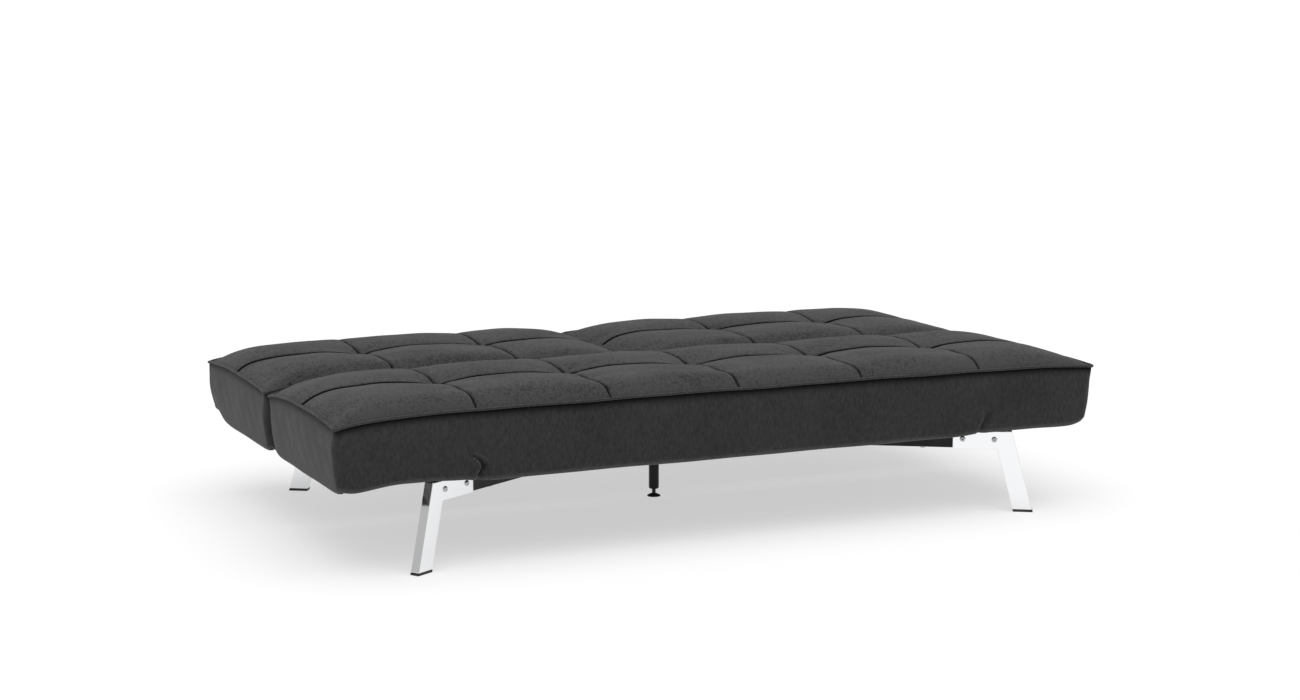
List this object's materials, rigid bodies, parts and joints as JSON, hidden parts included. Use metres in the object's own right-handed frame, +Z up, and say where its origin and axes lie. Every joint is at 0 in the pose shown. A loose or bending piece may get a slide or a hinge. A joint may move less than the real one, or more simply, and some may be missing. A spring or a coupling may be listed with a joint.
{
  "type": "futon sofa bed",
  "caption": "Armless sofa bed: tufted seat, split back that folds flat on ratchet hinges, and an X-shaped steel base on leaning chrome legs.",
  "frame": {"origin": "on the floor, under the middle of the whole bed", "axes": "+X along the width, to the right of someone who faces the seat's front and looks along +Y; +Y from the seat's front to the back's rear; +Z up"},
  "size_m": [1.68, 0.974, 0.333],
  "materials": {
    "charcoal_fabric": "brushed microfibre",
    "dust_fabric": "spun-bonded cloth",
    "foam": "open foam",
    "timber": "planed",
    "plywood": "plain plywood",
    "chrome": "polished",
    "black_steel": "satin powder coat",
    "zinc_steel": "zinc plate",
    "black_plastic": "matte"
  },
  "bodies": {
    "base_and_seat": {"leg_front_left": "chrome", "leg_foot_front_left": "black_plastic", "base_tube_front_left": "black_steel", "leg_bolt_outer_front_left": "zinc_steel", "leg_bolt_inner_front_left": "zinc_steel", "leg_front_right": "chrome", "leg_foot_front_right": "black_plastic", "base_tube_front_right": "black_steel", "leg_bolt_outer_front_right": "zinc_steel", "leg_bolt_inner_front_right": "zinc_steel", "leg_rear_left": "chrome", "leg_foot_rear_left": "black_plastic", "base_tube_rear_left": "black_steel", "leg_bolt_outer_rear_left": "zinc_steel", "leg_bolt_inner_rear_left": "zinc_steel", "leg_rear_right": "chrome", "leg_foot_rear_right": "black_plastic", "base_tube_rear_right": "black_steel", "leg_bolt_outer_rear_right": "zinc_steel", "leg_bolt_inner_rear_right": "zinc_steel", "seat_bolt_left": "zinc_steel", "seat_bolt_right": "zinc_steel", "base_hub_plate": "black_steel", "center_leg": "black_steel", "seat_rail_front": "timber", "seat_rail_rear": "timber", "seat_rail_left": "timber", "seat_rail_right": "timber", "seat_rail_center": "timber", "seat_deck": "plywood", "seat_cover": "charcoal_fabric", "seat_foam": "foam", "seat_dust_cover": "dust_fabric", "hinge_outer_left_seat_plate": "black_steel", "hinge_outer_left_pin": "zinc_steel", "hinge_inner_left_seat_plate": "black_steel", "hinge_inner_left_pin": "zinc_steel", "hinge_outer_right_seat_plate": "black_steel", "hinge_outer_right_pin": "zinc_steel", "hinge_inner_right_seat_plate": "black_steel", "hinge_inner_right_pin": "zinc_steel"},
    "back_left": {"back_left_rail_inner": "timber", "back_left_rail_outer": "timber", "back_left_deck": "plywood", "back_left_cover": "charcoal_fabric", "back_left_foam": "foam", "back_left_dust_cover": "dust_fabric", "hinge_outer_left_back_plate": "black_steel", "hinge_inner_left_back_plate": "black_steel"},
    "pawl_left": {"hinge_outer_left_pawl": "zinc_steel"},
    "back_right": {"back_right_rail_inner": "timber", "back_right_rail_outer": "timber", "back_right_deck": "plywood", "back_right_cover": "charcoal_fabric", "back_right_foam": "foam", "back_right_dust_cover": "dust_fabric", "hinge_outer_right_back_plate": "black_steel", "hinge_inner_right_back_plate": "black_steel"},
    "pawl_right": {"hinge_outer_right_pawl": "zinc_steel"},
    "leveller": {"center_leveller": "black_plastic"}
  },
  "joints": [
    {"name": "back_left_fold", "type": "hinge", "parent": "base_and_seat", "child": "back_left", "pos_m": [-0.42, 0.005, 0.295], "axis": [1, 0, 0], "range_deg": [0, 70]},
    {"name": "back_right_fold", "type": "hinge", "parent": "base_and_seat", "child": "back_right", "pos_m": [0.42, 0.005, 0.295], "axis": [1, 0, 0], "range_deg": [0, 70]},
    {"name": "pawl_left_swing", "type": "hinge", "parent": "back_left", "child": "pawl_left", "pos_m": [-0.7877, 0.01252, 0.27433], "axis": [1, 0, 0], "range_deg": [0, 20]},
    {"name": "pawl_right_swing", "type": "hinge", "parent": "back_right", "child": "pawl_right", "pos_m": [0.7877, 0.01252, 0.27433], "axis": [1, 0, 0], "range_deg": [0, 20]},
    {"name": "leveller_screw", "type": "slide", "parent": "base_and_seat", "child": "leveller", "axis": [0, 0, -1], "range_m": [0, 0.01]}
  ]
}
